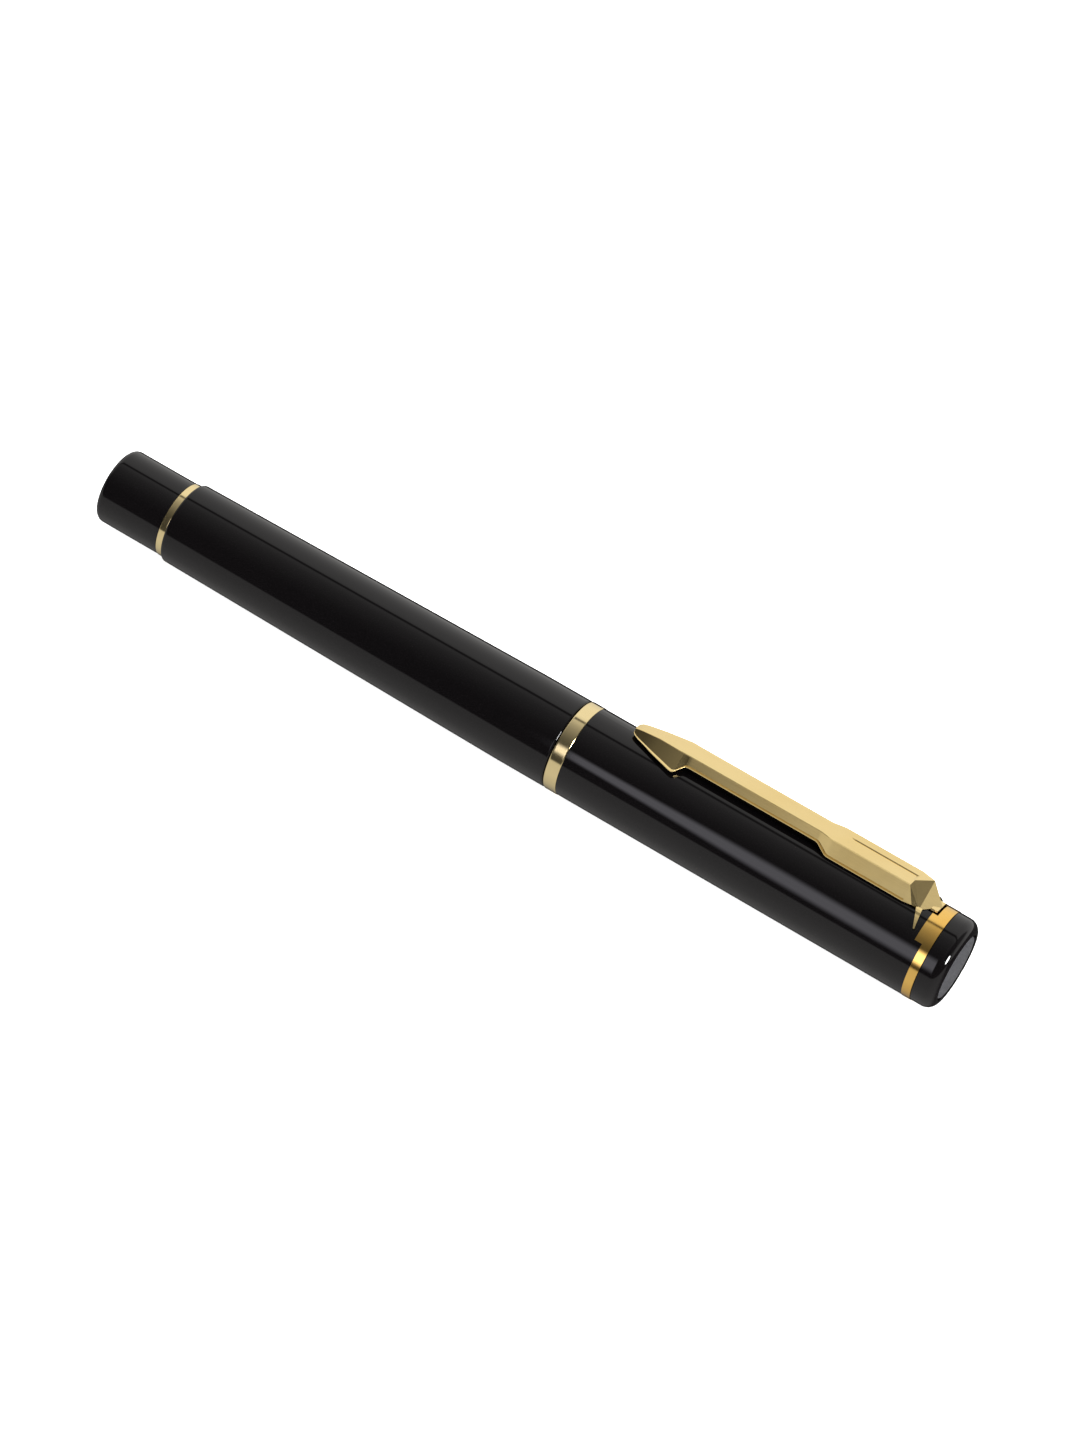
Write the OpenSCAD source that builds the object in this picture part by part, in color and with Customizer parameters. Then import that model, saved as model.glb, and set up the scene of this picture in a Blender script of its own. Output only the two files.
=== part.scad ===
// Capped rollerball pen, closed and lying on its side with the clip up.
// Each piece is drawn standing on the tail face along +Z, with the clip towards +X, and
// lay_down() then turns the finial towards +X, lifts the clip to +Z and puts the lowest
// point of the pen at Z = 0. Heights along the pen are named z_..., radii end in _r.

/* [Outside lengths] */
// Straight tail that the cap posts onto
tail_l = 10.6; // [9:0.1:16]
// Width of the ring between tail and barrel
tail_ring_w = 1; // [0.6:0.1:2]
// Floor of the tail, behind the seat of the spring
tail_floor = 2.6; // [1.6:0.1:5]
// Part of the barrel that keeps its full diameter behind the cap
barrel_straight_l = 7.8; // [4:0.1:14]
// Width of the band at the mouth of the cap
band_w = 2.1; // [1.2:0.1:4]
// Head in the end of the cap, which holds the clip and the finial
cap_head_l = 5.35; // [4.6:0.05:9]
// Width of the ring between cap tube and finial
top_ring_w = 1.3; // [0.8:0.1:2]
// Length of the finial
finial_l = 3.35; // [3:0.05:6]

/* [Outside diameters] */
// Cap tube
cap_d = 13.5; // [12.6:0.1:16.4]
// Barrel where it meets the cap
barrel_d = 13.5; // [12.8:0.1:16.4]
// How far the barrel stands proud of the tail at their ring
shoulder_h = 0.45; // [0.2:0.05:0.6]
// How far band and rings stand proud of the lacquer
ring_proud = 0.05; // [0.02:0.01:0.15]

/* [Walls] */
// Cap tube wall
cap_wall = 0.55; // [0.45:0.05:0.8]
// Sleeve of the mouth band, inside the cap tube
lip_wall = 0.35; // [0.25:0.05:0.6]
// Barrel tube wall around the threaded bush
barrel_wall = 0.9; // [0.6:0.05:1.2]
// Wall of the bush around its female thread
bush_wall = 0.79; // [0.6:0.01:1]
// Tail ring, from its bore to the surface of the tail
tail_ring_wall = 0.4; // [0.3:0.05:0.6]
// Wall of the section around the refill
section_wall = 0.8; // [0.6:0.05:1.2]

/* [Section] */
// Section and nose cone that the cap hides
section_l = 42; // [34:0.5:52]
// Nose cone
nose_l = 9; // [8:0.5:10]
// Male thread that holds the barrel
thread_l = 9; // [8:0.5:12]
// Collar at the root of the thread
collar_w = 2.95; // [2.6:0.05:4]

/* [Refill] */
// Refill, from its back face to the ball
refill_l = 111; // [90:0.5:134]
// Refill body
refill_d = 6.2; // [5.2:0.1:7.6]
// Reach of the refill in front of its shoulder
refill_nose_l = 10; // [9:0.5:11]
// Point that shows in front of the nose cone
point_out = 2; // [1.5:0.1:3]
// Writing ball
ball_d = 0.7; // [0.5:0.1:1]
// Spring behind the refill, as fitted
spring_l = 5.4; // [5:0.1:9]
// Spring wire
wire_d = 0.4; // [0.3:0.05:0.5]
// Active and closed turns of the spring
spring_turns = 6; // [4:1:8]

/* [Clip] */
// Clip, from its tip to its foot
clip_l = 47.4; // [38:0.2:58]
// Flared tip
clip_tip_l = 7.7; // [6:0.1:10]
// Wide root, from the foot back to the step
clip_root_l = 14.9; // [12:0.1:18]
// Top of the clip above the cap
clip_rise = 2.45; // [2.2:0.05:3]
// Flat top of the narrow shank
shank_w = 3.7; // [3:0.1:5]
// Flat top of the wide root
root_w = 5.2; // [4.4:0.1:6]
// Widest place of the flared tip, at its lower edge
flare_w = 8; // [6.4:0.1:9]
// Sheet the clip is folded from
clip_wall = 0.6; // [0.5:0.05:0.8]

/* [Fits] */
// Play of the snap ring in the mouth of the cap
snap_gap = 0.05; // [0.03:0.01:0.1]
// Play of the threads, per side
thread_gap = 0.06; // [0.03:0.01:0.1]
// Play of the ball in its socket
ball_gap = 0.015; // [0.01:0.005:0.03]
// Room of the tail in the mouth of the cap when posted
post_gap = 0.2; // [0.15:0.05:0.4]
// Room around the refill and the section
free_gap = 0.3; // [0.25:0.05:0.5]
// Seam between barrel and cap
lip_gap = 0.1; // [0.05:0.05:0.3]

/* [Hidden] */
$fn = 96;
eps = 0.01;

// Stations along the pen, which stacks up from the spring seat through the refill
seat_t = 1;
point_room = 6.5;
inner_floor = 1.5;
z_ring = tail_l;
z_barrel = z_ring + tail_ring_w;
z_pocket = tail_floor;
z_refill = z_pocket + seat_t + spring_l;
z_point = z_refill + refill_l;
z_nose_end = z_point - point_out;
z_seam = z_nose_end - section_l;
z_lip = z_seam + lip_gap;
z_tube = z_lip + band_w;
z_room_end = z_point + point_room;
z_head = z_room_end + inner_floor;
z_cap_end = z_head + cap_head_l;
z_finial = z_cap_end + top_ring_w;
pen_l = z_finial + finial_l;

// Radii that follow from the outside and the walls
cap_r = cap_d / 2;
cap_bore_r = cap_r - cap_wall;
lip_bore_r = cap_bore_r - lip_wall;
tail_r = lip_bore_r - post_gap;
tail_end_round = 0.9;
barrel_r = barrel_d / 2;
barrel_tail_r = tail_r + shoulder_h;
barrel_bore_r = tail_r - tail_ring_wall;
bush_r = barrel_r - barrel_wall;
refill_r = refill_d / 2;
refill_room_r = refill_r + free_gap;
lowest_r = max(barrel_r, cap_r + ring_proud);

// Tail, bush and spring seat
spring_room_r = refill_room_r + 0.1;
plug_spigot_l = 8.4;
z_plug_end = z_barrel + plug_spigot_l;
bush_floor = 4;
bush_recess = 0.1;
thread_end_room = 0.4;
z_thread = z_seam - thread_l;
z_bush = z_thread - thread_end_room - bush_floor;

// Section
thread_r = bush_r - bush_wall - thread_gap;
core_spigot_r = refill_room_r + section_wall;
core_spigot_l = 16;
core_bore_r = refill_room_r + 0.1;
collar_r = lip_bore_r - free_gap - 0.05;
collar_seat = 0.03;
z_collar = z_seam + collar_seat;
z_grip = z_collar + collar_w;
z_nose = z_nose_end - nose_l;
snap_w = 0.9;
snap_side_gap = 0.05;
snap_r = lip_bore_r - snap_gap;
snap_groove_r = collar_r - 0.5;
z_snap = z_collar + 1.3;
grip_back_r = collar_r - 0.2;
grip_front_r = refill_room_r + section_wall;
nose_back_r = grip_front_r - 0.1;
nose_front_r = 1.75;
nose_spigot_l = 4;
nose_spigot_r = refill_room_r + section_wall / 2;

// Refill
refill_wall = 0.35;
refill_bore_r = refill_r - refill_wall;
z_shoulder = z_point - refill_nose_l;
shoulder_gap = 0.05;
feed_head_l = 4;
feed_spigot_l = 6;
feed_nose_r = 1.5;
feed_nose_l = 4.2;
point_body_r = 1.2;
point_gap = 0.08;
point_spigot_r = 0.9;
point_spigot_l = 3;
point_cone_l = 2.3;
wick_r = 0.42;
wick_gap = 0.03;
wick_back_l = 8;
ball_r = ball_d / 2;
z_ball = z_point - ball_r;
z_feed_end = z_shoulder + feed_nose_l;
z_cone_end = z_point - 0.3;
z_feed_back = z_shoulder - feed_head_l - feed_spigot_l;

// Cap
lip_sleeve_l = 5.8;
inner_gap = 1.2;
z_inner = z_lip + tail_l + inner_gap;
inner_back_r = grip_back_r + free_gap - 0.05;
inner_front_r = nose_back_r + free_gap + 0.15;
z_inner_step = z_nose - 3;
stud_r = 2;
stud_grip = 2;
stud_bite = 4;
finial_round = 1.45;
disc_r = cap_r - 1.75;
disc_groove = 0.25;
disc_t = 0.55;
disc_inset = 0.15;
tab_l = 1.15;
tab_angle = 56;

// Clip, with heights measured from the axis of the pen
z_foot = z_cap_end - 1.15;
z_tip = z_foot - clip_l;
z_shoulders = z_tip + clip_tip_l;
z_step = z_foot - clip_root_l;
step_l = 1.7;
clip_top = cap_r + clip_rise;
tip_drop = 0.95;
tip_half_w = 0.75;
tip_depth = 0.75;
shoulder_slope = 1.4;
open_under = 2;
shank_depth = 1.5;
root_depth = 2.7;
side_flare = 0.25;
hip_l = 1.4;
hip_front = 0.9;
hip_half_w = 0.9;
hip_low_half_w = 2.4;
foot_half_w = 1.5;
foot_half_l = 0.5;
foot_deep = 1.85;
foot_gap = 0.3;
lug_gap = 0.12;
lug_t = 0.38;
lug_angle = 44;
nub_r = 0.7;
nub_gap = 0.15;
nub_back = 1.6;
nub_x = cap_r + ring_proud + nub_gap + nub_r;

module lay_down() {
    translate([-pen_l / 2, 0, lowest_r]) rotate([180, -90, 0]) children();
}

// Solid of revolution between two stations
module rod(r, z0, z1) {
    translate([0, 0, z0]) cylinder(r = r, h = z1 - z0);
}

// The same with different radii at its ends
module taper(r0, r1, z0, z1) {
    translate([0, 0, z0]) cylinder(r1 = r0, r2 = r1, h = z1 - z0);
}

// Sleeve between two stations
module sleeve(outer_r, inner_r, z0, z1) {
    difference() {
        rod(outer_r, z0, z1);
        rod(inner_r, z0 - eps, z1 + eps);
    }
}

// Points of a quarter circle of radius r about a centre, from angle a0 to a1
function arc(cx, cy, r, a0, a1, n = 8) =
    [for (i = [0 : n]) let (a = a0 + (a1 - a0) * i / n) [cx + r * cos(a), cy + r * sin(a)]];

// Solid through four-sided cross-sections, each [z, top half width, top height,
// lower half width, lower height]
module loft(s) {
    n = len(s);
    corners = [for (k = s) each [[k[2], -k[1], k[0]], [k[2], k[1], k[0]],
        [k[4], k[3], k[0]], [k[4], -k[3], k[0]]]];
    walls = [for (i = [0 : n - 2], j = [0 : 3])
        [4 * i + j, 4 * i + 4 + j, 4 * i + 4 + (j + 1) % 4, 4 * i + (j + 1) % 4]];
    polyhedron(corners, concat([[0, 1, 2, 3]], walls,
        [[4 * n - 1, 4 * n - 2, 4 * n - 3, 4 * n - 4]]));
}

// ---- Barrel ----

module tail_plug() {
    lay_down() color([0.03, 0.03, 0.035]) difference() {
        union() {
            rotate_extrude() polygon(concat([[0, 0]],
                arc(tail_r - tail_end_round, tail_end_round, tail_end_round, -90, 0),
                [[tail_r, z_ring], [0, z_ring]]));
            rod(barrel_bore_r, z_ring - eps, z_plug_end);
        }
        rod(spring_room_r, z_pocket, z_plug_end + eps);
    }
}

module tail_ring() {
    lay_down() color([0.86, 0.70, 0.38])
        sleeve(tail_r + ring_proud, barrel_bore_r, z_ring, z_barrel);
}

module barrel_tube() {
    round_r = 0.4;
    edge_r = 0.3;
    z_straight = z_seam - barrel_straight_l;
    lay_down() color([0.03, 0.03, 0.035]) difference() {
        rotate_extrude() polygon(concat([[0, z_barrel]],
            arc(barrel_tail_r - round_r, z_barrel + round_r, round_r, -90, 0),
            [[barrel_r, z_straight]],
            arc(barrel_r - edge_r, z_seam - edge_r, edge_r, 0, 90),
            [[0, z_seam]]));
        rod(barrel_bore_r, z_barrel - eps, z_plug_end);
        taper(barrel_bore_r, bush_r, z_plug_end - eps, z_bush);
        rod(bush_r, z_bush - eps, z_seam + eps);
    }
}

module barrel_bush() {
    z_front = z_seam - bush_recess;
    lay_down() color([0.78, 0.62, 0.35]) difference() {
        rod(bush_r, z_bush, z_front);
        rod(spring_room_r, z_bush - eps, z_front);
        rod(thread_r + thread_gap, z_bush + bush_floor, z_front + eps);
    }
}

module spring_seat() {
    lay_down() color([0.85, 0.85, 0.82]) union() {
        rod(refill_room_r, z_pocket, z_pocket + seat_t);
        rod(1.5, z_pocket, z_pocket + seat_t + 1.2);
    }
}

module refill_spring() {
    wire_r = wire_d / 2;
    mean_r = 2.2;
    steps = 18;
    sides = 8;
    end_gap = 0.03;
    low = z_pocket + seat_t + wire_r + end_gap;
    high = z_refill - wire_r - end_gap;
    n = spring_turns * steps;
    // Closed turns at each end, open turns between
    function rise(t) = t < 1 ? wire_d * 1.1 * t
        : t > spring_turns - 1 ? high - low - wire_d * 1.1 * (spring_turns - t)
        : wire_d * 1.1 + (high - low - wire_d * 2.2) * (t - 1) / (spring_turns - 2);
    points = [for (i = [0 : n], j = [0 : sides - 1])
        let (t = i / steps, a = 360 * t, b = 360 * j / sides, r = mean_r + wire_r * cos(b))
            [r * cos(a), r * sin(a), low + rise(t) + wire_r * sin(b)]];
    skin = [for (i = [0 : n - 1], j = [0 : sides - 1]) let (k = (j + 1) % sides)
        [i * sides + j, i * sides + k, (i + 1) * sides + k, (i + 1) * sides + j]];
    lay_down() color([0.75, 0.76, 0.78]) polyhedron(points, concat(
        [[for (j = [sides - 1 : -1 : 0]) j]], skin, [[for (j = [0 : sides - 1]) n * sides + j]]));
}

// ---- Section ----

module section_core() {
    lay_down() color([0.80, 0.64, 0.36]) difference() {
        union() {
            rod(thread_r, z_thread, z_collar);
            rod(core_spigot_r, z_seam, z_seam + core_spigot_l);
        }
        rod(core_bore_r, z_thread - eps, z_seam + core_spigot_l + eps);
    }
}

module section_collar() {
    lay_down() color([0.86, 0.70, 0.38]) difference() {
        sleeve(collar_r, core_spigot_r, z_collar, z_grip);
        sleeve(collar_r + 1, snap_groove_r, z_snap, z_snap + snap_w + 2 * snap_side_gap);
    }
}

module snap_ring() {
    z0 = z_snap + snap_side_gap;
    split_w = 2.6;
    lay_down() color([0.70, 0.71, 0.73]) difference() {
        sleeve(snap_r, snap_groove_r + snap_side_gap, z0, z0 + snap_w);
        translate([-snap_r - 1, -split_w / 2, z0 - 1]) cube([snap_r, split_w, snap_w + 2]);
    }
}

module grip_section() {
    lay_down() color([0.05, 0.05, 0.055]) difference() {
        taper(grip_back_r, grip_front_r, z_grip, z_nose);
        rod(core_spigot_r, z_grip - eps, z_seam + core_spigot_l);
        rod(refill_room_r, z_grip, z_nose + eps);
        rod(nose_spigot_r, z_nose - nose_spigot_l, z_nose + eps);
    }
}

module nose_cone() {
    wall_l = 1.5;
    tip_round = 0.5;
    lay_down() color([0.86, 0.70, 0.38]) difference() {
        union() {
            rod(nose_spigot_r, z_nose - nose_spigot_l, z_nose + eps);
            rotate_extrude() polygon(concat([[0, z_nose], [nose_back_r, z_nose],
                [nose_back_r - 0.1, z_nose + wall_l]],
                arc(nose_front_r - tip_round, z_nose_end - tip_round, tip_round, 15, 90),
                [[0, z_nose_end]]));
        }
        rod(refill_room_r, z_nose - nose_spigot_l - eps, z_shoulder + shoulder_gap);
        rod(feed_nose_r + free_gap, z_shoulder, z_feed_end + free_gap);
        rod(point_body_r + point_gap, z_shoulder, z_nose_end + eps);
    }
}

// ---- Refill ----

module refill_tube() {
    lay_down() color([0.92, 0.92, 0.90])
        sleeve(refill_r, refill_bore_r, z_refill + 1, z_shoulder - feed_head_l);
}

module refill_end_plug() {
    lay_down() color([0.10, 0.10, 0.12]) union() {
        rod(refill_r, z_refill, z_refill + 1);
        rod(refill_bore_r, z_refill + 1 - eps, z_refill + 5);
    }
}

module ink_reservoir() {
    z1 = z_feed_back - 0.5;
    lay_down() color([0.12, 0.14, 0.35]) difference() {
        rod(refill_bore_r - 0.05, z_refill + 5.5, z1);
        rod(wick_r + wick_gap, z1 - wick_back_l, z1 + eps);
    }
}

module refill_feed() {
    lay_down() color([0.13, 0.13, 0.15]) difference() {
        union() {
            rod(refill_bore_r, z_feed_back, z_shoulder);
            rod(refill_r, z_shoulder - feed_head_l, z_shoulder);
            rod(feed_nose_r, z_shoulder - eps, z_feed_end);
        }
        rod(wick_r + wick_gap, z_feed_back - eps, z_feed_end);
        rod(point_spigot_r, z_feed_end - point_spigot_l, z_feed_end + eps);
    }
}

module ink_wick() {
    lay_down() color([0.10, 0.12, 0.30])
        rod(wick_r, z_feed_back - wick_back_l, z_ball - 1);
}

module refill_point() {
    rim_r = ball_r + 0.08;
    lay_down() color([0.78, 0.77, 0.72]) difference() {
        union() {
            rod(point_spigot_r, z_feed_end - point_spigot_l, z_feed_end + eps);
            rod(point_body_r, z_feed_end, z_cone_end - point_cone_l);
            taper(point_body_r, rim_r, z_cone_end - point_cone_l, z_cone_end);
        }
        rod(wick_r + wick_gap, z_feed_end - point_spigot_l - eps, z_ball - 0.8);
        rod(ball_r / 2, z_ball - 1, z_ball);
        translate([0, 0, z_ball]) sphere(r = ball_r + ball_gap, $fn = 48);
    }
}

module writing_ball() {
    lay_down() color([0.55, 0.56, 0.58])
        translate([0, 0, z_ball]) sphere(r = ball_r, $fn = 48);
}

// ---- Cap ----

module cap_lip_band() {
    bevel = 0.25;
    outer_r = cap_r + ring_proud;
    lay_down() color([0.86, 0.70, 0.38]) difference() {
        union() {
            rotate_extrude() polygon([[0, z_lip], [outer_r - bevel, z_lip],
                [outer_r, z_lip + bevel], [outer_r, z_tube - bevel],
                [outer_r - bevel, z_tube], [0, z_tube]]);
            rod(cap_bore_r, z_tube - eps, z_tube + lip_sleeve_l);
        }
        rod(lip_bore_r, z_lip - eps, z_tube + lip_sleeve_l + eps);
    }
}

module cap_tube() {
    lay_down() color([0.03, 0.03, 0.035]) difference() {
        sleeve(cap_r, cap_bore_r, z_tube, z_cap_end);
        tab_space();
        foot_space();
    }
}

// Room that the ring's tab takes out of the end of the cap tube, under the clip
module tab_space() {
    translate([0, 0, z_cap_end - tab_l]) rotate([0, 0, -tab_angle])
        rotate_extrude(angle = 2 * tab_angle) square([cap_r + 1, tab_l + eps]);
}

// Slot for the clip's foot, open to the outside
module foot_space() {
    half_w = foot_half_w + foot_gap;
    half_l = foot_half_l + foot_gap;
    translate([cap_bore_r - foot_deep, -half_w, z_foot - half_l])
        cube([cap_r, 2 * half_w, 2 * half_l]);
}

module inner_cap() {
    lay_down() color([0.80, 0.80, 0.78]) difference() {
        rod(cap_bore_r, z_inner, z_head);
        rod(inner_back_r, z_inner - eps, z_inner_step);
        rod(inner_front_r, z_inner_step - eps, z_room_end);
    }
}

module cap_head() {
    lay_down() color([0.80, 0.64, 0.36]) difference() {
        rod(cap_bore_r, z_head, z_cap_end);
        rod(stud_r, z_cap_end - stud_bite, z_cap_end + eps);
        foot_space();
    }
}

module clip_ring() {
    ring_r = cap_r + ring_proud;
    lay_down() color([0.85, 0.58, 0.20]) difference() {
        union() {
            rod(ring_r, z_cap_end, z_finial);
            intersection() {
                sleeve(ring_r, cap_bore_r, z_cap_end - tab_l, z_cap_end + eps);
                tab_space();
            }
        }
        rod(stud_r, z_cap_end - eps, z_finial + eps);
        foot_space();
    }
}

module finial_stud() {
    lay_down() color([0.80, 0.64, 0.36])
        rod(stud_r, z_cap_end - stud_bite, z_finial + stud_grip);
}

module finial() {
    lip = 0.1;
    recess = disc_t + disc_inset;
    lay_down() color([0.03, 0.03, 0.035]) difference() {
        rotate_extrude() polygon(concat([[0, z_finial], [cap_r - lip, z_finial],
            [cap_r, z_finial + lip]],
            arc(cap_r - finial_round, pen_l - finial_round, finial_round, 0, 90),
            [[0, pen_l]]));
        rod(stud_r, z_finial - eps, z_finial + stud_grip);
        rod(disc_r + disc_groove, pen_l - recess, pen_l + eps);
    }
}

module finial_disc() {
    z0 = pen_l - disc_t - disc_inset;
    lay_down() color([0.32, 0.33, 0.35]) rod(disc_r, z0, z0 + disc_t);
}

// ---- Clip ----

// One cross-section of the folded sheet at z: its flat top, and how deep and wide its sides
// reach. Under a wall of t the section is the hollow, which runs out through the open bottom.
function fold(z, half, drop, depth, reach, t) = t == 0
    ? [z, half, clip_top - drop, half + reach, clip_top - drop - depth]
    : [z, half - t, clip_top - drop - t, half + reach - t, clip_top - drop - depth - open_under];

module clip_body(t) {
    shank = shank_w / 2;
    root = root_w / 2;
    flare_top = shank + 0.6;
    flare = flare_w / 2 - flare_top;
    shank_reach = side_flare * shank_depth;
    root_reach = side_flare * root_depth;
    loft(concat([
        fold(z_tip + t, tip_half_w + t, tip_drop, tip_depth, 0.2, t),
        fold(z_shoulders - t, flare_top, 0, root_depth, flare, t),
        fold(z_shoulders - t + shoulder_slope, shank, 0, shank_depth, shank_reach, t),
        fold(z_step - step_l, shank, 0, shank_depth, shank_reach, t),
        fold(z_step, root, 0, root_depth, root_reach, t),
        fold(z_foot - hip_l - t, root, 0, root_depth, root_reach, t)],
        t > 0 ? [] : [[z_foot + hip_front, hip_half_w, cap_r + 0.75, hip_low_half_w,
            cap_r + lug_gap + ring_proud + 0.08]]));
}

module clip() {
    lug_r = cap_r + ring_proud + lug_gap;
    lay_down() color([0.88, 0.73, 0.42]) union() {
        difference() {
            clip_body(0);
            clip_body(clip_wall);
            rod(lug_r, z_tip, z_finial);
        }
        // Foot that hooks into the head of the cap
        translate([cap_bore_r - foot_deep + foot_gap, -foot_half_w, z_foot - foot_half_l])
            cube([clip_top - 1.6 - cap_bore_r + foot_deep - foot_gap,
                2 * foot_half_w, 2 * foot_half_l]);
        // Lugs that reach down beside the ring
        translate([0, 0, z_foot - 0.3]) rotate([0, 0, -lug_angle])
            rotate_extrude(angle = 2 * lug_angle) translate([lug_r, 0]) square([lug_t, 0.8]);
        // Nub that rests on the cloth of a pocket
        translate([nub_x, 0, z_shoulders - nub_back]) {
            sphere(r = nub_r);
            rotate([0, 90, 0]) cylinder(r = nub_r, h = clip_top - clip_wall - nub_x);
        }
    }
}

tail_plug();
tail_ring();
barrel_tube();
barrel_bush();
spring_seat();
refill_spring();
section_core();
section_collar();
snap_ring();
grip_section();
nose_cone();
refill_tube();
refill_end_plug();
ink_reservoir();
refill_feed();
ink_wick();
refill_point();
writing_ball();
cap_lip_band();
cap_tube();
inner_cap();
cap_head();
clip_ring();
finial_stud();
finial();
finial_disc();
clip();
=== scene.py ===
# A capped rollerball pen: black lacquer over brass tubes, gold-plated trim and a spring clip.
# The pen lies along X with its finial towards +X and its clip up. The scene is in metres; the
# sizes of the pieces below are in millimetres, which MM turns into metres.
import math

import bmesh
import bpy
from mathutils import Matrix, Vector


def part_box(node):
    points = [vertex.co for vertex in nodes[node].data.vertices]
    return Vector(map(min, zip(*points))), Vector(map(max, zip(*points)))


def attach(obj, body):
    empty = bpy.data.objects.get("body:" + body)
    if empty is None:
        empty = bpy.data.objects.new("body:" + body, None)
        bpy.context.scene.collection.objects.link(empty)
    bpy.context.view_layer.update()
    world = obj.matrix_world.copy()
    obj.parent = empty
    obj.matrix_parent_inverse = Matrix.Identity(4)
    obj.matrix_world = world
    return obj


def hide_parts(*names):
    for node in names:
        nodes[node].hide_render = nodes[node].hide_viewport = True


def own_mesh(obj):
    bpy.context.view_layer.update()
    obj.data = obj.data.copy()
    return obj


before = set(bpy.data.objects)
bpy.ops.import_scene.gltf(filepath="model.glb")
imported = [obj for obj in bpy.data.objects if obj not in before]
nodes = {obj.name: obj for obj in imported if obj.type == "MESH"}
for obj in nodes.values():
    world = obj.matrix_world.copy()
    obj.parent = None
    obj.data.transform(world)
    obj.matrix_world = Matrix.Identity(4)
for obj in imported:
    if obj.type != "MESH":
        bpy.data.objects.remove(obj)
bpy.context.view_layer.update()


# ---- Refill ----
# The refill is a moulded plastic tube filled with inked fibre. A black feed is pressed into its
# front, and carries the turned steel point. A plug closes the back.

class Shade:
    """A number or colour inside a material: arithmetic on it adds the nodes that work it out."""

    def __init__(self, tree, socket):
        self.tree, self.socket = tree, socket

    def node(self, kind, settings=None, out=0, **inputs):
        """Adds a node: its settings first, then values or links for its sockets by name."""
        made = self.tree.nodes.new(kind)
        for name, value in (settings or {}).items():
            if name == "stops":
                ramp = made.color_ramp
                while len(ramp.elements) < len(value):
                    ramp.elements.new(0.5)
                for element, (place, colour) in zip(ramp.elements, value):
                    element.position, element.color = place, colour
            else:
                setattr(made, name, value)
        for name, value in inputs.items():
            key = int(name[1:]) if name[0] == "_" else name.replace("_", " ")
            if isinstance(value, Shade):
                self.tree.links.new(value.socket, made.inputs[key])
            else:
                made.inputs[key].default_value = value
        return Shade(self.tree, made.outputs[out])

    def math(self, operation, *values):
        return self.node("ShaderNodeMath", {"operation": operation},
                         **{f"_{i}": v for i, v in enumerate(values)})

    def __add__(self, other): return self.math("ADD", self, other)
    def __radd__(self, other): return self.math("ADD", other, self)
    def __sub__(self, other): return self.math("SUBTRACT", self, other)
    def __rsub__(self, other): return self.math("SUBTRACT", other, self)
    def __mul__(self, other): return self.math("MULTIPLY", self, other)
    def __rmul__(self, other): return self.math("MULTIPLY", other, self)
    def __truediv__(self, other): return self.math("DIVIDE", self, other)

    def smooth(self, low, high):
        """0 below low, 1 above high, and a smooth step between."""
        return self.node("ShaderNodeMapRange", {"interpolation_type": "SMOOTHSTEP"},
                         _0=self, _1=low, _2=high)

    def mix(self, first, second):
        """Blends two colours, with this number as the share of the second."""
        return self.node("ShaderNodeMix", {"data_type": "RGBA"}, out=2, _0=self,
                         _6=first, _7=second)


def rgb(red, green, blue):
    return (red, green, blue, 1)


class Material:
    """A Principled material whose constant sockets are set here, once."""

    def __init__(self, name, **constant):
        self.data = bpy.data.materials.new(name)
        self.data.use_nodes = True
        self.tree = self.data.node_tree
        self.shader = self.tree.nodes["Principled BSDF"]
        self.place = Shade(self.tree, None).node("ShaderNodeTexCoord", out=3)
        for socket, value in constant.items():
            self.shader.inputs[socket.replace("_", " ")].default_value = value

    def link(self, socket, value):
        self.tree.links.new(value.socket, self.shader.inputs[socket])

    def noise(self, scale, detail, stretch=(1, 1, 1)):
        """Noise of that many lumps a metre, drawn out along the axes that stretch makes small."""
        place = self.place.node("ShaderNodeMapping", Vector=self.place, Scale=stretch)
        return place.node("ShaderNodeTexNoise", Vector=place, Scale=scale, Detail=detail)

    def bump(self, height, strength, distance):
        self.link("Normal", height.node("ShaderNodeBump", Strength=strength, Distance=distance,
                                        Height=height))


def finish_node(name, material):
    """Gives a carried-over CAD node its material."""
    slots = nodes[name].data.materials
    slots.clear()
    slots.append(material.data)


def moulded(name, colour, shade, roughness, grain=900):
    """Moulded plastic: a little uneven in colour, with the fine orange peel of its mould."""
    made = Material(name)
    cloud = made.noise(180, 3)
    made.link("Base Color", cloud.smooth(0.3, 0.7).mix(rgb(*colour), rgb(*shade)))
    made.link("Roughness", roughness + 0.08 * made.noise(420, 2))
    made.bump(made.noise(grain, 3), 0.12, 0.00002)
    return made


def turned(name, colour, shade, roughness, marks=9000, depth=0.25):
    """Lathe-turned metal: faint rings round the part and a slow change of tint along it."""
    made = Material(name, Metallic=1.0)
    rings = made.noise(marks, 2, stretch=(1, 0.02, 0.02))
    made.link("Base Color", made.noise(160, 3).mix(rgb(*colour), rgb(*shade)))
    made.link("Roughness", roughness + 0.12 * rings)
    made.bump(rings, depth, 0.000008)
    return made


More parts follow.
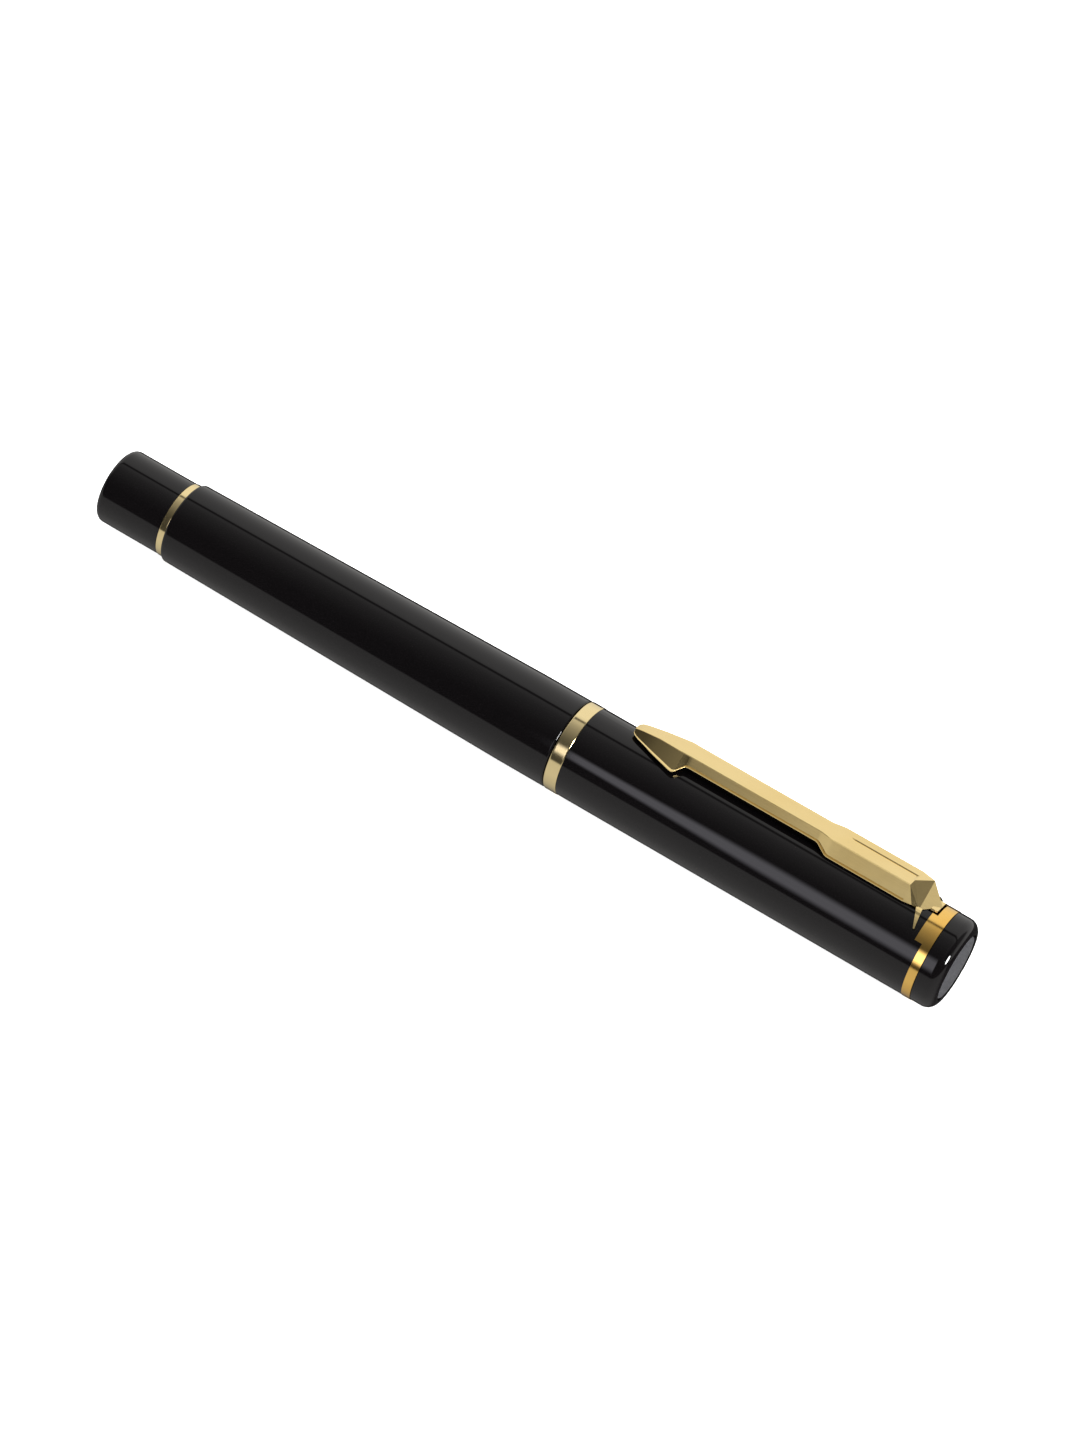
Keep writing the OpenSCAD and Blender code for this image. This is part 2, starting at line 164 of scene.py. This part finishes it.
refill_shell = moulded("refill_shell", (0.44, 0.45, 0.45), (0.42, 0.43, 0.43), 0.28)
refill_dark = moulded("refill_dark", (0.016, 0.016, 0.020), (0.024, 0.024, 0.028), 0.34)
ink_fibre = moulded("ink_fibre", (0.02, 0.03, 0.16), (0.04, 0.06, 0.24), 0.8, grain=5200)
point_metal = turned("point_metal", (0.70, 0.68, 0.62), (0.62, 0.60, 0.55), 0.16)
ball_metal = turned("ball_metal", (0.56, 0.57, 0.59), (0.50, 0.51, 0.53), 0.06, depth=0.05)
finish_node("refill_tube", refill_shell)
finish_node("refill_end_plug", refill_dark)
finish_node("refill_feed", refill_dark)
finish_node("ink_reservoir", ink_fibre)
finish_node("ink_wick", ink_fibre)
finish_node("refill_point", point_metal)
finish_node("writing_ball", ball_metal)


# ---- Section ----
# A turned brass core screws into the barrel. A gold collar with a split snap ring sits at the
# root of its thread, then the black grip, and a gold cone that the point comes out of.

MM = 0.001
AXIS_Z = (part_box("section_core")[0].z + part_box("section_core")[1].z) / 2


def piece(name, mesh_data, body, slot, material, *replaced):
    """Links a finished mesh as a piece of the pen that rides on a body."""
    made = bpy.data.objects.new(name, mesh_data)
    bpy.context.scene.collection.objects.link(made)
    made.data.materials.append(material.data)
    if replaced:
        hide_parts(*replaced)
    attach(made, body)
    return made


def shade_smooth(mesh_data, limit=30):
    """Smooth faces, with edges sharper than the limit in degrees left crisp."""
    mesh_data.shade_smooth()
    mesh_data.set_sharp_from_angle(angle=math.radians(limit))


LONG_RUN = 0.8
SUPPORT_INSET = 0.03


def supported(outline):
    """The outline with a point just inside each end of its long runs, which stay flat there."""
    result = [outline[0]]
    for a, b in zip(outline, outline[1:]):
        length = math.dist(a, b)
        if length > LONG_RUN:
            for share in (SUPPORT_INSET / length, 1 - SUPPORT_INSET / length):
                result.append((a[0] + (b[0] - a[0]) * share, a[1] + (b[1] - a[1]) * share))
        result.append(b)
    return result


def lathe(name, outline, body, slot, material, *replaced, sides=160, limit=30, relief=None):
    """A closed ring turned round the pen's axis, from (x, radius) points in millimetres.
    A relief gives how far the surface sinks at a place (x, radius) and turn of the ring."""
    work = bmesh.new()
    loops = []
    for x, radius in supported(outline):
        if radius < 1e-6:
            loops.append([work.verts.new((x * MM, 0, AXIS_Z))])
            continue
        loop = []
        for k in range(sides):
            turn = 2 * math.pi * k / sides
            r = (radius - (relief(x, radius, turn) if relief else 0)) * MM
            loop.append(work.verts.new((x * MM, r * math.sin(turn), AXIS_Z + r * math.cos(turn))))
        loops.append(loop)
    pairs = list(zip(loops, loops[1:]))
    starts_and_ends_on_axis = len(loops[0]) == 1 and len(loops[-1]) == 1
    if not starts_and_ends_on_axis:
        pairs.append((loops[-1], loops[0]))
    for near, far in pairs:
        for k in range(sides):
            a, b = near[k % len(near)], near[(k + 1) % len(near)]
            c, d = far[(k + 1) % len(far)], far[k % len(far)]
            work.faces.new([v for i, v in enumerate((a, b, c, d))
                            if v not in (a, b, c, d)[:i]])
    bmesh.ops.recalc_face_normals(work, faces=work.faces)
    data = bpy.data.meshes.new(name)
    work.to_mesh(data)
    work.free()
    shade_smooth(data, limit)
    return piece(name, data, body, slot, material, *replaced)


def bend(x, radius, size, start, end, steps=6):
    """Points on an arc of that size about (x, radius), from one angle in degrees to another."""
    turn = [math.radians(start + (end - start) * k / steps) for k in range(steps + 1)]
    return [(x + size * math.cos(a), radius + size * math.sin(a)) for a in turn]


def span(name):
    """Ends of a node along the pen, in millimetres, and its radius across the pen."""
    low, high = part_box(name)
    return low.x / MM, high.x / MM, (high.y - low.y) / 2 / MM


turned_brass = turned("turned_brass", (0.78, 0.58, 0.29), (0.66, 0.47, 0.22), 0.24)
spring_steel = turned("spring_steel", (0.62, 0.63, 0.65), (0.54, 0.55, 0.57), 0.18)
grip_resin = moulded("grip_resin", (0.010, 0.010, 0.011), (0.015, 0.015, 0.016), 0.22)


def plated(name, colour, warm, roughness=0.07):
    """Gold plate over polished brass: soft buffing marks and a faint drift of tint."""
    made = Material(name, Metallic=1.0)
    drift = made.noise(90, 3)
    fine = made.noise(2600, 3, stretch=(0.12, 1, 1))
    made.link("Base Color", drift.smooth(0.35, 0.65).mix(rgb(*colour), rgb(*warm)))
    made.link("Roughness", roughness + 0.07 * made.noise(700, 3))
    made.bump(fine, 0.08, 0.000012)
    return made


gold_plate = plated("gold_plate", (0.93, 0.77, 0.43), (0.91, 0.74, 0.39))
core_back, core_front, thread_r = span("section_core")
collar_back = span("section_collar")[0]
CORE_BORE_R = 3.5
SPIGOT_R = 4.2
PITCH = 1.0
THREAD_DEPTH = 0.36
THREAD_START = 0.3
THREAD_STEP = 0.08
THREAD_RUNOUT = 0.8
LEAD_IN = 0.35


def thread(x, radius, turn):
    """How deep the thread is cut there: a V that climbs one pitch in each turn."""
    if radius < thread_r - 0.01:
        return 0
    place = ((x - core_back) / PITCH - turn / (2 * math.pi)) % 1
    runout = min(1, (collar_back - x) / THREAD_RUNOUT)
    return THREAD_DEPTH * min(1, 1.3 * abs(2 * place - 1)) * runout


thread_steps = int((collar_back - core_back - THREAD_START) / THREAD_STEP)
lathe("threaded_core", [(core_back, CORE_BORE_R), (core_back, thread_r - LEAD_IN)]
      + [(core_back + THREAD_START + THREAD_STEP * k, thread_r) for k in range(thread_steps)]
      + [(collar_back, thread_r), (collar_back, SPIGOT_R), (core_front, SPIGOT_R),
         (core_front, CORE_BORE_R)],
      "section", "turned_brass", turned_brass, "section_core", sides=96, relief=thread)
finish_node("section_collar", gold_plate)
finish_node("snap_ring", spring_steel)
finish_node("grip_section", grip_resin)
finish_node("nose_cone", gold_plate)


# ---- Barrel ----
# A brass tube under black lacquer, straight behind the cap and tapering to the tail. The tail
# is a black resin plug, pressed in over a thin gold ring. The spring and its seat sit inside.

def lacquer(name):
    """Many thin coats of black lacquer, rubbed flat: near-mirror with the last orange peel."""
    made = Material(name, Metallic=0.0, IOR=1.42)
    made.link("Base Color", made.noise(60, 2).mix(rgb(0.0022, 0.0018, 0.0021),
                                                  rgb(0.0032, 0.0026, 0.0029)))
    made.link("Roughness", 0.015 + 0.03 * made.noise(500, 3))
    made.bump(made.noise(260, 2), 0.05, 0.00002)
    return made


black_lacquer = lacquer("black_lacquer")
black_resin = lacquer("black_resin")
seat_plastic = moulded("seat_plastic", (0.80, 0.80, 0.76), (0.74, 0.74, 0.70), 0.35)
finish_node("spring_seat", seat_plastic)
finish_node("barrel_bush", turned_brass)

tail_back, plug_front = span("tail_plug")[:2]
ring_back, ring_front, ring_r = span("tail_ring")
RING_PROUD = 0.05
TAIL_BORE_R = 5.25
TAIL_ROUND = 0.9
TAIL_FLOOR = 2.6
POCKET_R = 3.5
PLUG_BEVEL = 0.3
FINE_BEVEL = 0.08
tail_r = ring_r - RING_PROUD
pocket_back = tail_back + TAIL_FLOOR
lathe("tail", [(tail_back, 0)]
      + bend(tail_back + TAIL_ROUND, tail_r - TAIL_ROUND, TAIL_ROUND, 180, 90)
      + [(ring_back - FINE_BEVEL, tail_r), (ring_back, tail_r - FINE_BEVEL),
         (ring_back, TAIL_BORE_R), (plug_front - PLUG_BEVEL, TAIL_BORE_R),
         (plug_front, TAIL_BORE_R - PLUG_BEVEL), (plug_front, POCKET_R),
         (pocket_back, POCKET_R), (pocket_back, 0)],
      "barrel", "black_resin", black_resin, "tail_plug")

RING_ROUND = 0.06
lathe("tail_band", [(ring_back, TAIL_BORE_R)]
      + bend(ring_back + RING_ROUND, ring_r - RING_ROUND, RING_ROUND, 180, 90, 4)
      + bend(ring_front - RING_ROUND, ring_r - RING_ROUND, RING_ROUND, 90, 0, 4)
      + [(ring_front, TAIL_BORE_R)],
      "barrel", "gold_plate", gold_plate, "tail_ring")

tube_back, seam, barrel_r = span("barrel_tube")
SHOULDER_R = 6.1
SHOULDER_ROUND = 0.4
STRAIGHT = 7.8
BLEND = 1.5
BLEND_DROP = 0.02
MOUTH_ROUND = 0.3
BUSH_R = 5.85
straight_back = seam - STRAIGHT
bush_back = span("barrel_bush")[0]
lathe("barrel_shell",
      bend(tube_back + SHOULDER_ROUND, SHOULDER_R - SHOULDER_ROUND, SHOULDER_ROUND, 180, 91)
      + [(straight_back - BLEND, barrel_r - BLEND_DROP), (straight_back, barrel_r)]
      + bend(seam - MOUTH_ROUND, barrel_r - MOUTH_ROUND, MOUTH_ROUND, 90, 0)
      + [(seam, BUSH_R), (bush_back, BUSH_R), (plug_front, TAIL_BORE_R),
         (tube_back, TAIL_BORE_R)],
      "barrel", "black_lacquer", black_lacquer, "barrel_tube")


def coil_mesh(low, high, mean_r=2.2, wire_r=0.2, turns=6, steps=40, sides=12):
    """A compression spring with a closed turn at each end, between two places along the pen."""
    # One closed turn climbs a little more than the wire is thick
    closed = 2.2 * wire_r
    low, high = low + wire_r, high - wire_r
    points, faces = [], []
    for i in range(turns * steps + 1):
        t = i / steps
        if t < 1:
            x = low + closed * t
        elif t > turns - 1:
            x = high - closed * (turns - t)
        else:
            x = low + closed + (high - low - 2 * closed) * (t - 1) / (turns - 2)
        for j in range(sides):
            around = 2 * math.pi * j / sides
            r = mean_r + wire_r * math.cos(around)
            points.append(((x + wire_r * math.sin(around)) * MM,
                           r * math.sin(2 * math.pi * t) * MM,
                           AXIS_Z + r * math.cos(2 * math.pi * t) * MM))
    for i in range(turns * steps):
        for j in range(sides):
            k = (j + 1) % sides
            faces.append((i * sides + j, i * sides + k, (i + 1) * sides + k, (i + 1) * sides + j))
    faces += [tuple(range(sides))[::-1], tuple(range(turns * steps * sides, len(points)))]
    data = bpy.data.meshes.new("spring_coil")
    data.from_pydata(points, [], faces)
    shade_smooth(data, 50)
    return data


spring_back, spring_front = span("refill_spring")[:2]
coil = piece("spring_coil", coil_mesh(spring_back, spring_front), "spring", "spring_steel",
             spring_steel, "refill_spring")
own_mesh(coil)


# ---- Cap ----
# A lacquered brass tube with a gold band pressed into its mouth. Inside are a plastic liner
# that closes round the point and a brass head that holds the clip and the finial.

liner_plastic = moulded("liner_plastic", (0.76, 0.76, 0.73), (0.70, 0.70, 0.67), 0.4)
finish_node("inner_cap", liner_plastic)
finish_node("cap_head", turned_brass)

lip_back, sleeve_front, band_r = span("cap_lip_band")
cap_back = span("cap_tube")[0]
LIP_BORE_R = 5.85
CAP_BORE_R = 6.2
LIP_ROUND = 0.22
lathe("lip_band", bend(lip_back + LIP_ROUND, band_r - LIP_ROUND, LIP_ROUND, 180, 90, 5)
      + bend(cap_back - LIP_ROUND, band_r - LIP_ROUND, LIP_ROUND, 90, 0, 5)
      + [(cap_back, CAP_BORE_R), (sleeve_front, CAP_BORE_R), (sleeve_front, LIP_BORE_R),
         (lip_back, LIP_BORE_R)],
      "cap", "gold_plate", gold_plate, "cap_lip_band")
finish_node("cap_tube", black_lacquer)


# ---- Finial ----
# An orange-gold ring with a tab under the clip closes the cap. A black resin finial screws
# down on it, with a grey disc let into its end behind a fine groove.

ring_brass = plated("ring_brass", (0.96, 0.60, 0.16), (0.93, 0.54, 0.12), 0.09)
finish_node("clip_ring", ring_brass)
finish_node("finial_stud", turned_brass)
finial_back, finial_front, finial_r = span("finial")
disc_back, disc_front, recess_r = span("finial_disc")
FINIAL_ROUND = 1.7
STUD_R = 2.0
GROOVE = 0.3
DISC_INSET = 0.25
BASE_BEVEL = 0.1
DISC_BEVEL = 0.06
disc_r = recess_r - DISC_INSET
groove_r = disc_r + GROOVE
lathe("finial_knob", [(finial_back, STUD_R), (finial_back, finial_r - BASE_BEVEL),
                      (finial_back + BASE_BEVEL, finial_r)]
      + bend(finial_front - FINIAL_ROUND, finial_r - FINIAL_ROUND, FINIAL_ROUND, 90, 8, 12)
      + bend(finial_front - FINE_BEVEL, groove_r + FINE_BEVEL, FINE_BEVEL, 0, -90, 4)
      + [(disc_back, groove_r), (disc_back, STUD_R)],
      "cap", "black_resin", black_resin, "finial")

disc_grey = Material("disc_grey", Metallic=0.35)
speckle = disc_grey.noise(6500, 2)
disc_grey.link("Base Color", speckle.smooth(0.35, 0.65).mix(rgb(0.040, 0.040, 0.044),
                                                            rgb(0.13, 0.13, 0.14)))
disc_grey.link("Roughness", 0.38 + 0.2 * speckle)
disc_grey.bump(speckle, 0.35, 0.00003)
lathe("disc", [(disc_back, 0), (disc_back, disc_r), (disc_front - DISC_BEVEL, disc_r),
               (disc_front, disc_r - DISC_BEVEL), (disc_front, 0)],
      "cap", "disc_grey", disc_grey, "finial_disc")


# ---- Clip ----
# One folded sheet of spring brass, gold plated: a flared tip, a narrow shank, and a wider root
# whose end folds down in three facets to a foot that hooks into the head of the cap.

clip_gold = plated("clip_gold", (0.93, 0.72, 0.33), (0.90, 0.68, 0.29), 0.10)
SHEET = 0.6
RIM = 0.10
LIP_RISE = 0.36
PANEL_HALF = 0.7
PANEL_EDGE = 0.1
clip_tip = span("clip")[0] - 0.7
root_end = clip_tip + 44.0


def fold_section(x, top_half, top, low_half, low, lip, bevel, panel):
    """One section of the folded sheet: outer skin from near rim to far rim, then the hollow."""
    # Half of the skin, from the rim up: rim, lip, side, two facets of the bevel, top, panel
    half = [(low_half, low), (low_half, low + RIM), (low_half - lip, low + RIM + LIP_RISE * lip),
            (top_half + 0.04, top - bevel), (top_half - bevel * 0.9, top - 0.02),
            (top_half - bevel * 1.5, top), (PANEL_HALF + PANEL_EDGE, top),
            (PANEL_HALF, top - panel)]
    # The lines of the panel draw together on the narrow tip
    if top_half < PANEL_HALF + 0.5:
        share = top_half / (PANEL_HALF + 0.6) * 0.8
        half[6:] = [((PANEL_HALF + PANEL_EDGE) * share, top), (PANEL_HALF * share, top)]
    wall = min(SHEET, top_half * 0.6)
    hollow = [(top_half - wall, max(top - SHEET, low + 0.1)),
              (max(low_half - SHEET, top_half - wall), low)]
    skin = [(-y, z) for y, z in half] + half[::-1] + hollow[::-1] + [(-y, z) for y, z in hollow]
    return [(x, y, z) for y, z in skin]


def clip_sections():
    """Sections from the rounded tip over the flare, shank and step to the end of the root."""
    # Place from the tip, half width and height of the top, half width and height of the rim,
    # width of the bright lip, bevel of the top's edges, and depth of the sunk panel
    shape = [(0, .42, 7.85, .50, 7.35, .02, .1, 0), (.10, .72, 8.0, .88, 7.20, .1, .1, 0),
             (.45, .96, 8.17, 1.28, 7.10, .16, .1, 0), (1.2, 1.1, 8.35, 1.7, 7.02, .2, .1, 0),
             (4.0, 1.4, 8.75, 2.75, 6.80, .26, .1, 0), (7.4, 1.92, 8.98, 3.9, 6.54, .32, .1, 0),
             (7.75, 1.95, 9.0, 3.98, 6.54, .32, .1, 0), (8.05, 1.95, 9.0, 3.85, 6.6, .32, .1, 0),
             (8.6, 1.93, 9.0, 2.95, 7.05, .32, .1, 0), (9.0, 1.92, 9.0, 2.42, 7.36, .30, .1, 0),
             (9.5, 1.92, 9.0, 2.30, 7.42, .28, .1, 0), (29.6, 1.92, 9.0, 2.30, 7.42, .28, .1, 0),
             (30.0, 1.93, 9.0, 2.36, 7.34, .28, .1, 0), (31.5, 2.4, 9.0, 2.84, 6.56, .30, .08, 0),
             (31.9, 2.44, 9.0, 2.89, 6.46, .30, .06, 0), (33.4, 2.45, 9.0, 2.90, 6.45, .30, .06, 0),
             (33.9, 2.45, 9.0, 2.90, 6.45, .30, .06, .12),
             (43.6, 2.45, 9.0, 2.90, 6.42, .30, .06, .12),
             (43.9, 2.45, 9.0, 2.90, 6.42, .30, .06, 0)]
    return [fold_section(clip_tip + x, *rest) for x, *rest in shape]


def corner(work, x, y, height):
    """A new point at millimetres along and across the pen, and above its axis."""
    return work.verts.new((x * MM, y * MM, AXIS_Z + height * MM))


def join_loops(work, loops):
    """Faces between each closed loop of points and the next."""
    count = len(loops[0])
    for near, far in zip(loops, loops[1:]):
        for k in range(count):
            after = (k + 1) % count
            work.faces.new((near[k], near[after], far[after], far[k]))


def fold_end(work, last):
    """The end of the root: a narrow near facet, a middle one, and a wide slope to the cap."""
    side = corner(work, root_end + 1.2, -2.64, 6.46)
    apex = corner(work, root_end + 2.4, -2.70, 6.42)
    crest = corner(work, root_end + 1.9, 1.9, 8.95)
    heel = corner(work, root_end + 3.4, 2.5, 6.6)
    toe = corner(work, root_end + 4.7, 0, 7.0)
    # Outer skin runs 0 (near rim) to 15 (far rim); the hollow closes it from 16 to 19
    work.faces.new((last[0], last[1], last[2], side))
    work.faces.new((last[2], last[3], side))
    work.faces.new((side, *last[3:7], apex))
    work.faces.new((apex, last[6], crest))
    work.faces.new((*last[6:13], crest))
    work.faces.new((last[12], last[13], heel, crest))
    work.faces.new((*last[13:16], heel))
    work.faces.new((apex, crest, toe))
    work.faces.new((crest, heel, toe))
    work.faces.new(last[16:])
    work.faces.new((last[0], side, apex, toe, heel, last[15], last[16], last[19]))


FOOT_INSET = 0.9
FOOT_SIZE = (1.0, 3.0, 2.3)
FOOT_HEIGHT = 5.8


def add_foot(work):
    """The foot goes down into the head of the cap."""
    place = ((span("clip")[1] - FOOT_INSET) * MM, 0, AXIS_Z + FOOT_HEIGHT * MM)
    bmesh.ops.create_cube(work, size=MM, matrix=Matrix.Translation(place)
                          @ Matrix.Diagonal((*FOOT_SIZE, 1)))


LUG_STEPS = 9
LUG_INNER, LUG_OUTER = 6.93, 7.22
LUG_START, LUG_TURN = 21, 3.2
LUG_PLACE, LUG_LEAN = 2.3, 0.12
LUG_HALF, LUG_TIP = 0.42, 0.06


def add_lugs(work):
    """A tapered lug lies round the cap on each side of the end."""
    for way in (-1, 1):
        loops = []
        for k in range(LUG_STEPS):
            turn = math.radians(LUG_START + LUG_TURN * k)
            middle = root_end + LUG_PLACE + LUG_LEAN * k
            half = LUG_HALF * (1 - k / LUG_STEPS) + LUG_TIP
            around, up = way * math.sin(turn), math.cos(turn)
            loops.append([corner(work, middle + dx, r * around, r * up)
                          for dx, r in ((-half, LUG_INNER), (half, LUG_INNER),
                                        (half, LUG_OUTER), (-half, LUG_OUTER))])
        join_loops(work, loops)
        work.faces.new(loops[0])
        work.faces.new(loops[-1])


NUB_PLACE = 6.8
NUB_R = 0.7
NUB_LOW, NUB_MIDDLE, NUB_LENGTH = 7.65, 8.1, 0.9


def add_nub(work):
    """The rounded nub under the tip, which rests on the cloth of a pocket."""
    x = (clip_tip + NUB_PLACE) * MM
    bmesh.ops.create_uvsphere(work, u_segments=24, v_segments=12, radius=NUB_R * MM,
                              matrix=Matrix.Translation((x, 0, AXIS_Z + NUB_LOW * MM)))
    bmesh.ops.create_cone(work, cap_ends=True, segments=24, radius1=NUB_R * MM,
                          radius2=NUB_R * MM, depth=NUB_LENGTH * MM,
                          matrix=Matrix.Translation((x, 0, AXIS_Z + NUB_MIDDLE * MM)))


def clip_mesh():
    """The folded sheet with its faceted end, foot, lugs and the nub under its tip."""
    work = bmesh.new()
    rows = [[corner(work, *point) for point in row] for row in clip_sections()]
    join_loops(work, rows)
    work.faces.new(rows[0])
    fold_end(work, rows[-1])
    add_foot(work)
    add_lugs(work)
    add_nub(work)
    bmesh.ops.recalc_face_normals(work, faces=work.faces)
    data = bpy.data.meshes.new("clip_sheet")
    work.to_mesh(data)
    work.free()
    shade_smooth(data, 17)
    # The facets beyond the end of the fold stay flat
    for face in data.polygons:
        face.use_smooth = face.center.x < root_end * MM
    return data


piece("clip_sheet", clip_mesh(), "clip", "gold_plate", clip_gold, "clip")


# ---- Studio ----
# A plain white sweep under a soft overhead light. The walls that the lacquer and gold reflect
# are the world: white table, dark front, grey ceiling, bright back wall and one long lamp.

def studio_world():
    world = bpy.data.worlds.new("studio")
    bpy.context.scene.world = world
    world.use_nodes = True
    tree = world.node_tree
    ray = Shade(tree, None).node("ShaderNodeTexCoord", out=0)
    along = ray.node("ShaderNodeSeparateXYZ", out=0, Vector=ray)
    across = Shade(tree, along.socket.node.outputs[1])
    up = Shade(tree, along.socket.node.outputs[2])
    # Angle round the pen: 0 in front, 90 overhead, 180 behind, negative below
    angle = along.math("ARCTAN2", up, 0 - across) * (180 / math.pi)
    walls = [(-180, 0.10), (-165, 0.04), (-135, 0.05), (-117, 0.30), (-93, 0.50), (-60, 0.64),
             (-30, 0.62), (-23.5, 0.60), (-21, 0.06), (-5, 0.05), (20, 0.06), (30, 0.09),
             (39, 0.12), (48, 0.17), (58, 0.24), (67, 0.30), (77, 0.40), (87, 0.56), (90, 0.56),
             (92, 0.10), (96, 0.10), (98, 0.80), (106, 0.92), (150, 0.92), (180, 0.74)]
    stops = [((a + 180) / 360, rgb(v, v * 0.985, v * 0.96)) for a, v in walls]
    room = angle.node("ShaderNodeValToRGB", {"stops": stops}, _0=(angle + 180) / 360)
    # The end of the room beyond the finial is dark high up
    dark_end = along.smooth(0.48, 0.62) * up.smooth(0.3, 0.5)
    room = (dark_end * 0.8).mix(room, rgb(0.02, 0.02, 0.02))
    # The lamp tilts and widens along the pen, and ends level with the mouth of the cap
    centre = 9.5 - 30 * (along + 0.24)
    half = 9 + 6 * along.smooth(-0.245, -0.19)
    offset = angle.math("ABSOLUTE", angle - centre)
    lamp = (1 - offset.smooth(half * 0.35, half * 1.45)) * along.smooth(-0.2466, -0.2454)
    lamp = lamp * (1 - along.smooth(-0.12, 0.0))
    light = lamp.mix(room, rgb(2.3, 2.25, 2.45))
    # A small bright lamp beyond the finial
    toward_spot = ray.node("ShaderNodeVectorMath", {"operation": "DOT_PRODUCT"}, out=1,
                           _0=ray, _1=(0.921, -0.298, 0.253))
    light = toward_spot.smooth(0.9885, 0.9925).mix(light, rgb(60, 60, 60))
    surface = tree.nodes["Background"]
    tree.links.new(light.socket, surface.inputs["Color"])
    surface.inputs["Strength"].default_value = 1.0


studio_world()

floor_data = bpy.data.meshes.new("floor")
FLOOR_HALF = 3.0
floor_data.from_pydata([(x * FLOOR_HALF, y * FLOOR_HALF, 0) for x, y in
                        ((-1, -1), (1, -1), (1, 1), (-1, 1))], [], [(0, 1, 2, 3)])
floor = bpy.data.objects.new("floor", floor_data)
bpy.context.scene.collection.objects.link(floor)
paper = Material("paper", Roughness=0.9, Specular_IOR_Level=0.0)
paper.link("Base Color", paper.noise(40, 3).mix(rgb(0.86, 0.86, 0.86), rgb(0.88, 0.88, 0.88)))
paper.shader.inputs["Emission Color"].default_value = rgb(1, 1, 1)
paper.shader.inputs["Emission Strength"].default_value = 0.93
floor.data.materials.append(paper.data)
floor.visible_glossy = False

overhead = bpy.data.lights.new("overhead", "AREA")
overhead.shape, overhead.size, overhead.size_y = "RECTANGLE", 0.9, 0.7
overhead.energy = 4.0
overhead_place = bpy.data.objects.new("overhead", overhead)
overhead_place.location = (0, -0.1, 0.7)
overhead_place.rotation_euler = (-0.14, 0, 0)
overhead_place.visible_glossy = False
bpy.context.scene.collection.objects.link(overhead_place)

# The camera stands in front of the pen and above it, a little towards the cap, and is rolled
# so that the pen lies aslant
TARGET = Vector((0, 0, 0.0078))
DISTANCE = 0.648
ROLL = 21.6
CENTRING = (0.0016, -0.00085, 0)
toward = Vector((0.254, -0.838, 0.484)).normalized()
camera_data = bpy.data.cameras.new("camera")
camera_data.sensor_width = 36
camera_data.lens = 117.7
camera_data.clip_start, camera_data.clip_end = 0.01, 20
camera = bpy.data.objects.new("camera", camera_data)
camera.matrix_world = (Matrix.Translation(TARGET + toward * DISTANCE)
                       @ toward.to_track_quat("Z", "Y").to_matrix().to_4x4()
                       @ Matrix.Rotation(math.radians(ROLL), 4, "Z")
                       @ Matrix.Translation(CENTRING))
bpy.context.scene.collection.objects.link(camera)
bpy.context.scene.camera = camera
bpy.context.scene.view_settings.view_transform = "Standard"
